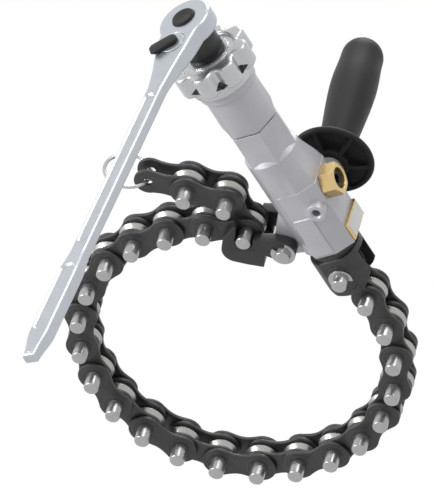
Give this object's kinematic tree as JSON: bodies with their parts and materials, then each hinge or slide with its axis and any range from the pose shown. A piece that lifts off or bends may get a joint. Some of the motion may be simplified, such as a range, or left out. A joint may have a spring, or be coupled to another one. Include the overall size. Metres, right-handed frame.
{
  "type": "soil pipe cutter",
  "caption": "Ratcheting chain cutter for cast-iron soil pipe: a chain of cutting wheels closed on a hook and drawn tight by a feed screw with a star knob and ratchet wrench.",
  "frame": {"origin": "centre of the chain loop, on the axis of the pipe that it closes round, in the chain's middle plane", "axes": "+Z along the pipe's axis on the side where the side handle stands, X along the feed screw with the star knob at -X and the chain yoke at +X, Y across, with the feed body at -Y"},
  "size_m": [0.3601, 0.2444, 0.425],
  "materials": {
    "cast_aluminium": "satin cast and machined aluminium",
    "black_steel": "black oxide steel, oiled",
    "wheel_steel": "hardened steel with ground edges",
    "bright_steel": "zinc-plated wire",
    "satin_chrome": "satin chrome plate",
    "black_plastic": "matt moulded black plastic",
    "brass": "turned brass"
  },
  "bodies": {
    "feed_body": {"cutter_body": "cast_aluminium", "side_handle": "black_plastic", "brass_nut": "brass"},
    "yoke": {"chain_yoke": "black_steel"},
    "feed_drive": {"feed_screw": "black_steel", "feed_knob": "cast_aluminium"},
    "wrench": {"ratchet_wrench": "satin_chrome"},
    "direction_lever": {"reversing_lever": "black_plastic"},
    "quick_release": {"release_button": "black_plastic"},
    "hook": {"chain_hook": "black_steel"},
    "link_00": {"inner_link_00": "black_steel"},
    "link_01": {"outer_link_01": "black_steel"},
    "link_02": {"inner_link_02": "black_steel"},
    "link_03": {"outer_link_03": "black_steel"},
    "link_04": {"inner_link_04": "black_steel"},
    "link_05": {"outer_link_05": "black_steel"},
    "link_06": {"inner_link_06": "black_steel"},
    "link_07": {"outer_link_07": "black_steel"},
    "link_08": {"inner_link_08": "black_steel"},
    "link_09": {"outer_link_09": "black_steel"},
    "link_10": {"inner_link_10": "black_steel"},
    "link_11": {"outer_link_11": "black_steel"},
    "link_12": {"inner_link_12": "black_steel"},
    "link_13": {"outer_link_13": "black_steel"},
    "link_14": {"inner_link_14": "black_steel"},
    "link_15": {"outer_link_15": "black_steel"},
    "link_16": {"inner_link_16": "black_steel"},
    "link_17": {"outer_link_17": "black_steel"},
    "link_18": {"inner_link_18": "black_steel"},
    "link_19": {"outer_link_19": "black_steel"},
    "link_20": {"inner_link_20": "black_steel"},
    "link_21": {"outer_link_21": "black_steel"},
    "link_22": {"inner_link_22": "black_steel"},
    "link_23": {"outer_link_23": "black_steel"},
    "tail_link": {"end_link": "black_steel"},
    "ring": {"pull_ring": "bright_steel"},
    "wheel_01": {"cutter_wheel_01": "wheel_steel"},
    "wheel_02": {"cutter_wheel_02": "wheel_steel"},
    "wheel_03": {"cutter_wheel_03": "wheel_steel"},
    "wheel_04": {"cutter_wheel_04": "wheel_steel"},
    "wheel_05": {"cutter_wheel_05": "wheel_steel"},
    "wheel_06": {"cutter_wheel_06": "wheel_steel"},
    "wheel_07": {"cutter_wheel_07": "wheel_steel"},
    "wheel_08": {"cutter_wheel_08": "wheel_steel"},
    "wheel_09": {"cutter_wheel_09": "wheel_steel"},
    "wheel_10": {"cutter_wheel_10": "wheel_steel"},
    "wheel_11": {"cutter_wheel_11": "wheel_steel"},
    "wheel_12": {"cutter_wheel_12": "wheel_steel"},
    "wheel_13": {"cutter_wheel_13": "wheel_steel"},
    "wheel_14": {"cutter_wheel_14": "wheel_steel"},
    "wheel_15": {"cutter_wheel_15": "wheel_steel"},
    "wheel_16": {"cutter_wheel_16": "wheel_steel"},
    "wheel_17": {"cutter_wheel_17": "wheel_steel"},
    "wheel_18": {"cutter_wheel_18": "wheel_steel"},
    "wheel_19": {"cutter_wheel_19": "wheel_steel"},
    "wheel_20": {"cutter_wheel_20": "wheel_steel"},
    "wheel_21": {"cutter_wheel_21": "wheel_steel"},
    "wheel_22": {"cutter_wheel_22": "wheel_steel"},
    "wheel_23": {"cutter_wheel_23": "wheel_steel"},
    "wheel_24": {"cutter_wheel_24": "wheel_steel"}
  },
  "joints": [
    {"name": "feed_turn", "type": "hinge", "parent": "feed_body", "child": "feed_drive", "pos_m": [-0.23637, -0.09489, 0], "axis": [1, 0, 0], "range_deg": [0, 1080]},
    {"name": "yoke_slide", "type": "slide", "parent": "feed_body", "child": "yoke", "axis": [-1, 0, 0], "range_m": [0, 0.006]},
    {"name": "wrench_swing", "type": "hinge", "parent": "feed_body", "child": "wrench", "pos_m": [-0.23637, -0.09489, 0], "axis": [1, 0, 0], "continuous": true},
    {"name": "lever_turn", "type": "hinge", "parent": "wrench", "child": "direction_lever", "pos_m": [-0.23637, -0.09175, -0.02127], "axis": [1, 0, 0], "range_deg": [0, 56]},
    {"name": "release_press", "type": "slide", "parent": "wrench", "child": "quick_release", "axis": [1, 0, 0], "range_m": [0, 0.0015], "stiffness_N_per_m": 800},
    {"name": "hook_swing", "type": "hinge", "parent": "feed_body", "child": "hook", "pos_m": [-0.06857, -0.07199, 0], "axis": [0, 0, -1], "range_deg": [0, 40]},
    {"name": "link_hinge_00", "type": "hinge", "parent": "yoke", "child": "link_00", "pos_m": [-0.03637, -0.09489, 0], "axis": [0, 0, 1], "range_deg": [0, 3]},
    {"name": "link_hinge_01", "type": "hinge", "parent": "link_00", "child": "link_01", "pos_m": [-0.01127, -0.09878, 0], "axis": [0, 0, 1], "range_deg": [-2, 0]},
    {"name": "link_hinge_02", "type": "hinge", "parent": "link_01", "child": "link_02", "pos_m": [0.01412, -0.09842, 0], "axis": [0, 0, 1], "range_deg": [-3, 0]},
    {"name": "link_hinge_03", "type": "hinge", "parent": "link_02", "child": "link_03", "pos_m": [0.0386, -0.09163, 0], "axis": [0, 0, 1], "range_deg": [-22.9, 0]},
    {"name": "link_hinge_04", "type": "hinge", "parent": "link_03", "child": "link_04", "pos_m": [0.06055, -0.07886, 0], "axis": [0, 0, 1], "range_deg": [-23, 0]},
    {"name": "link_hinge_05", "type": "hinge", "parent": "link_04", "child": "link_05", "pos_m": [0.07856, -0.06094, 0], "axis": [0, 0, 1], "range_deg": [-23, 0]},
    {"name": "link_hinge_06", "type": "hinge", "parent": "link_05", "child": "link_06", "pos_m": [0.09144, -0.03905, 0], "axis": [0, 0, 1], "range_deg": [0, 25]},
    {"name": "link_hinge_07", "type": "hinge", "parent": "link_06", "child": "link_07", "pos_m": [0.09835, -0.0146, 0], "axis": [0, 0, 1], "range_deg": [0, 25]},
    {"name": "link_hinge_08", "type": "hinge", "parent": "link_07", "child": "link_08", "pos_m": [0.09884, 0.01079, 0], "axis": [0, 0, 1], "range_deg": [0, 25]},
    {"name": "link_hinge_09", "type": "hinge", "parent": "link_08", "child": "link_09", "pos_m": [0.09288, 0.03548, 0], "axis": [0, 0, 1], "range_deg": [-2, 0]},
    {"name": "link_hinge_10", "type": "hinge", "parent": "link_09", "child": "link_10", "pos_m": [0.08086, 0.05786, 0], "axis": [0, 0, 1], "range_deg": [-2, 0]},
    {"name": "link_hinge_11", "type": "hinge", "parent": "link_10", "child": "link_11", "pos_m": [0.06356, 0.07646, 0], "axis": [0, 0, 1], "range_deg": [0, 2]},
    {"name": "link_hinge_12", "type": "hinge", "parent": "link_11", "child": "link_12", "pos_m": [0.04211, 0.09007, 0], "axis": [0, 0, 1], "range_deg": [0, 2]},
    {"name": "link_hinge_13", "type": "hinge", "parent": "link_12", "child": "link_13", "pos_m": [0.01792, 0.0978, 0], "axis": [0, 0, 1], "range_deg": [0, 3]},
    {"name": "link_hinge_14", "type": "hinge", "parent": "link_13", "child": "link_14", "pos_m": [-0.00745, 0.09914, 0], "axis": [0, 0, 1], "range_deg": [-7, 0]},
    {"name": "link_hinge_15", "type": "hinge", "parent": "link_14", "child": "link_15", "pos_m": [-0.03233, 0.09402, 0], "axis": [0, 0, 1], "range_deg": [-7, 0]},
    {"name": "link_hinge_16", "type": "hinge", "parent": "link_15", "child": "link_16", "pos_m": [-0.05509, 0.08276, 0], "axis": [0, 0, 1], "range_deg": [-7, 0]},
    {"name": "link_hinge_17", "type": "hinge", "parent": "link_16", "child": "link_17", "pos_m": [-0.07427, 0.0661, 0], "axis": [0, 0, 1], "range_deg": [-10, 0]},
    {"name": "link_hinge_18", "type": "hinge", "parent": "link_17", "child": "link_18", "pos_m": [-0.08859, 0.04513, 0], "axis": [0, 0, 1], "range_deg": [-10, 0]},
    {"name": "link_hinge_19", "type": "hinge", "parent": "link_18", "child": "link_19", "pos_m": [-0.09714, 0.02121, 0], "axis": [0, 0, 1], "range_deg": [-32, 0]},
    {"name": "link_hinge_20", "type": "hinge", "parent": "link_19", "child": "link_20", "pos_m": [-0.09934, -0.00409, 0], "axis": [0, 0, 1], "range_deg": [-32, 0]},
    {"name": "link_hinge_21", "type": "hinge", "parent": "link_20", "child": "link_21", "pos_m": [-0.09506, -0.02913, 0], "axis": [0, 0, 1], "range_deg": [-2, 0]},
    {"name": "link_hinge_22", "type": "hinge", "parent": "link_21", "child": "link_22", "pos_m": [-0.08458, -0.05227, 0], "axis": [0, 0, 1], "range_deg": [-5, 15]},
    {"name": "link_hinge_23", "type": "hinge", "parent": "link_22", "child": "link_23", "pos_m": [-0.10998, -0.05199, 0], "axis": [0, 0, -1], "range_deg": [-50, 5]},
    {"name": "link_hinge_24", "type": "hinge", "parent": "link_23", "child": "tail_link", "pos_m": [-0.12574, -0.03208, 0], "axis": [0, 0, 1], "range_deg": [-20, 60]},
    {"name": "ring_swing", "type": "hinge", "parent": "tail_link", "child": "ring", "pos_m": [-0.13917, -0.0117, 0], "axis": [0, 0, 1], "range_deg": [-40, 40]},
    {"name": "wheel_spin_01", "type": "hinge", "parent": "link_00", "child": "wheel_01", "pos_m": [-0.01127, -0.09878, 0], "axis": [0, 0, 1], "continuous": true},
    {"name": "wheel_spin_02", "type": "hinge", "parent": "link_02", "child": "wheel_02", "pos_m": [0.01412, -0.09842, 0], "axis": [0, 0, 1], "continuous": true},
    {"name": "wheel_spin_03", "type": "hinge", "parent": "link_02", "child": "wheel_03", "pos_m": [0.0386, -0.09163, 0], "axis": [0, 0, 1], "continuous": true},
    {"name": "wheel_spin_04", "type": "hinge", "parent": "link_04", "child": "wheel_04", "pos_m": [0.06055, -0.07886, 0], "axis": [0, 0, 1], "continuous": true},
    {"name": "wheel_spin_05", "type": "hinge", "parent": "link_04", "child": "wheel_05", "pos_m": [0.07856, -0.06094, 0], "axis": [0, 0, 1], "continuous": true},
    {"name": "wheel_spin_06", "type": "hinge", "parent": "link_06", "child": "wheel_06", "pos_m": [0.09144, -0.03905, 0], "axis": [0, 0, 1], "continuous": true},
    {"name": "wheel_spin_07", "type": "hinge", "parent": "link_06", "child": "wheel_07", "pos_m": [0.09835, -0.0146, 0], "axis": [0, 0, 1], "continuous": true},
    {"name": "wheel_spin_08", "type": "hinge", "parent": "link_08", "child": "wheel_08", "pos_m": [0.09884, 0.01079, 0], "axis": [0, 0, 1], "continuous": true},
    {"name": "wheel_spin_09", "type": "hinge", "parent": "link_08", "child": "wheel_09", "pos_m": [0.09288, 0.03548, 0], "axis": [0, 0, 1], "continuous": true},
    {"name": "wheel_spin_10", "type": "hinge", "parent": "link_10", "child": "wheel_10", "pos_m": [0.08086, 0.05786, 0], "axis": [0, 0, 1], "continuous": true},
    {"name": "wheel_spin_11", "type": "hinge", "parent": "link_10", "child": "wheel_11", "pos_m": [0.06356, 0.07646, 0], "axis": [0, 0, 1], "continuous": true},
    {"name": "wheel_spin_12", "type": "hinge", "parent": "link_12", "child": "wheel_12", "pos_m": [0.04211, 0.09007, 0], "axis": [0, 0, 1], "continuous": true},
    {"name": "wheel_spin_13", "type": "hinge", "parent": "link_12", "child": "wheel_13", "pos_m": [0.01792, 0.0978, 0], "axis": [0, 0, 1], "continuous": true},
    {"name": "wheel_spin_14", "type": "hinge", "parent": "link_14", "child": "wheel_14", "pos_m": [-0.00745, 0.09914, 0], "axis": [0, 0, 1], "continuous": true},
    {"name": "wheel_spin_15", "type": "hinge", "parent": "link_14", "child": "wheel_15", "pos_m": [-0.03233, 0.09402, 0], "axis": [0, 0, 1], "continuous": true},
    {"name": "wheel_spin_16", "type": "hinge", "parent": "link_16", "child": "wheel_16", "pos_m": [-0.05509, 0.08276, 0], "axis": [0, 0, 1], "continuous": true},
    {"name": "wheel_spin_17", "type": "hinge", "parent": "link_16", "child": "wheel_17", "pos_m": [-0.07427, 0.0661, 0], "axis": [0, 0, 1], "continuous": true},
    {"name": "wheel_spin_18", "type": "hinge", "parent": "link_18", "child": "wheel_18", "pos_m": [-0.08859, 0.04513, 0], "axis": [0, 0, 1], "continuous": true},
    {"name": "wheel_spin_19", "type": "hinge", "parent": "link_18", "child": "wheel_19", "pos_m": [-0.09714, 0.02121, 0], "axis": [0, 0, 1], "continuous": true},
    {"name": "wheel_spin_20", "type": "hinge", "parent": "link_20", "child": "wheel_20", "pos_m": [-0.09934, -0.00409, 0], "axis": [0, 0, 1], "continuous": true},
    {"name": "wheel_spin_21", "type": "hinge", "parent": "link_20", "child": "wheel_21", "pos_m": [-0.09506, -0.02913, 0], "axis": [0, 0, 1], "continuous": true},
    {"name": "wheel_spin_22", "type": "hinge", "parent": "link_22", "child": "wheel_22", "pos_m": [-0.08458, -0.05227, 0], "axis": [0, 0, 1], "continuous": true},
    {"name": "wheel_spin_23", "type": "hinge", "parent": "link_22", "child": "wheel_23", "pos_m": [-0.10998, -0.05199, 0], "axis": [0, 0, 1], "continuous": true},
    {"name": "wheel_spin_24", "type": "hinge", "parent": "tail_link", "child": "wheel_24", "pos_m": [-0.12574, -0.03208, 0], "axis": [0, 0, 1], "continuous": true}
  ],
  "couplings": [
    {"joint": "feed_turn", "follows": "yoke_slide", "rad_per_m": 3141.6},
    {"joint": "link_hinge_00", "follows": "yoke_slide", "rad_per_m": 2.9238},
    {"joint": "link_hinge_01", "follows": "yoke_slide", "rad_per_m": -1.3672},
    {"joint": "link_hinge_02", "follows": "yoke_slide", "rad_per_m": -4.6099},
    {"joint": "link_hinge_04", "follows": "link_hinge_03", "ratio": 1},
    {"joint": "link_hinge_05", "follows": "link_hinge_03", "ratio": 1},
    {"joint": "link_hinge_06", "follows": "link_hinge_03", "ratio": -1.0634},
    {"joint": "link_hinge_07", "follows": "link_hinge_03", "ratio": -1.0634},
    {"joint": "link_hinge_08", "follows": "link_hinge_03", "ratio": -1.0634},
    {"joint": "link_hinge_09", "follows": "yoke_slide", "rad_per_m": -2.192},
    {"joint": "link_hinge_10", "follows": "yoke_slide", "rad_per_m": -0.7466},
    {"joint": "link_hinge_11", "follows": "yoke_slide", "rad_per_m": 0.5616},
    {"joint": "link_hinge_12", "follows": "yoke_slide", "rad_per_m": 2.3377},
    {"joint": "link_hinge_13", "follows": "yoke_slide", "rad_per_m": 5.0593},
    {"joint": "link_hinge_14", "follows": "link_hinge_03", "ratio": 0.26275},
    {"joint": "link_hinge_15", "follows": "link_hinge_03", "ratio": 0.26275},
    {"joint": "link_hinge_16", "follows": "link_hinge_03", "ratio": 0.26275},
    {"joint": "link_hinge_17", "follows": "link_hinge_03", "ratio": 0.43498},
    {"joint": "link_hinge_18", "follows": "link_hinge_03", "ratio": 0.43498},
    {"joint": "link_hinge_19", "follows": "link_hinge_03", "ratio": 1.3968},
    {"joint": "link_hinge_20", "follows": "link_hinge_03", "ratio": 1.3968},
    {"joint": "link_hinge_21", "follows": "yoke_slide", "rad_per_m": -1.9635},
    {"joint": "wheel_spin_02", "follows": "wheel_spin_01", "ratio": 1},
    {"joint": "wheel_spin_03", "follows": "wheel_spin_01", "ratio": 1},
    {"joint": "wheel_spin_04", "follows": "wheel_spin_01", "ratio": 1},
    {"joint": "wheel_spin_05", "follows": "wheel_spin_01", "ratio": 1},
    {"joint": "wheel_spin_06", "follows": "wheel_spin_01", "ratio": 1},
    {"joint": "wheel_spin_07", "follows": "wheel_spin_01", "ratio": 1},
    {"joint": "wheel_spin_08", "follows": "wheel_spin_01", "ratio": 1},
    {"joint": "wheel_spin_09", "follows": "wheel_spin_01", "ratio": 1},
    {"joint": "wheel_spin_10", "follows": "wheel_spin_01", "ratio": 1},
    {"joint": "wheel_spin_11", "follows": "wheel_spin_01", "ratio": 1},
    {"joint": "wheel_spin_12", "follows": "wheel_spin_01", "ratio": 1},
    {"joint": "wheel_spin_13", "follows": "wheel_spin_01", "ratio": 1},
    {"joint": "wheel_spin_14", "follows": "wheel_spin_01", "ratio": 1},
    {"joint": "wheel_spin_15", "follows": "wheel_spin_01", "ratio": 1},
    {"joint": "wheel_spin_16", "follows": "wheel_spin_01", "ratio": 1},
    {"joint": "wheel_spin_17", "follows": "wheel_spin_01", "ratio": 1},
    {"joint": "wheel_spin_18", "follows": "wheel_spin_01", "ratio": 1},
    {"joint": "wheel_spin_19", "follows": "wheel_spin_01", "ratio": 1},
    {"joint": "wheel_spin_20", "follows": "wheel_spin_01", "ratio": 1},
    {"joint": "wheel_spin_21", "follows": "wheel_spin_01", "ratio": 1},
    {"joint": "wheel_spin_22", "follows": "wheel_spin_01", "ratio": 1},
    {"joint": "wheel_spin_23", "follows": "wheel_spin_01", "ratio": 1},
    {"joint": "wheel_spin_24", "follows": "wheel_spin_01", "ratio": 1}
  ]
}
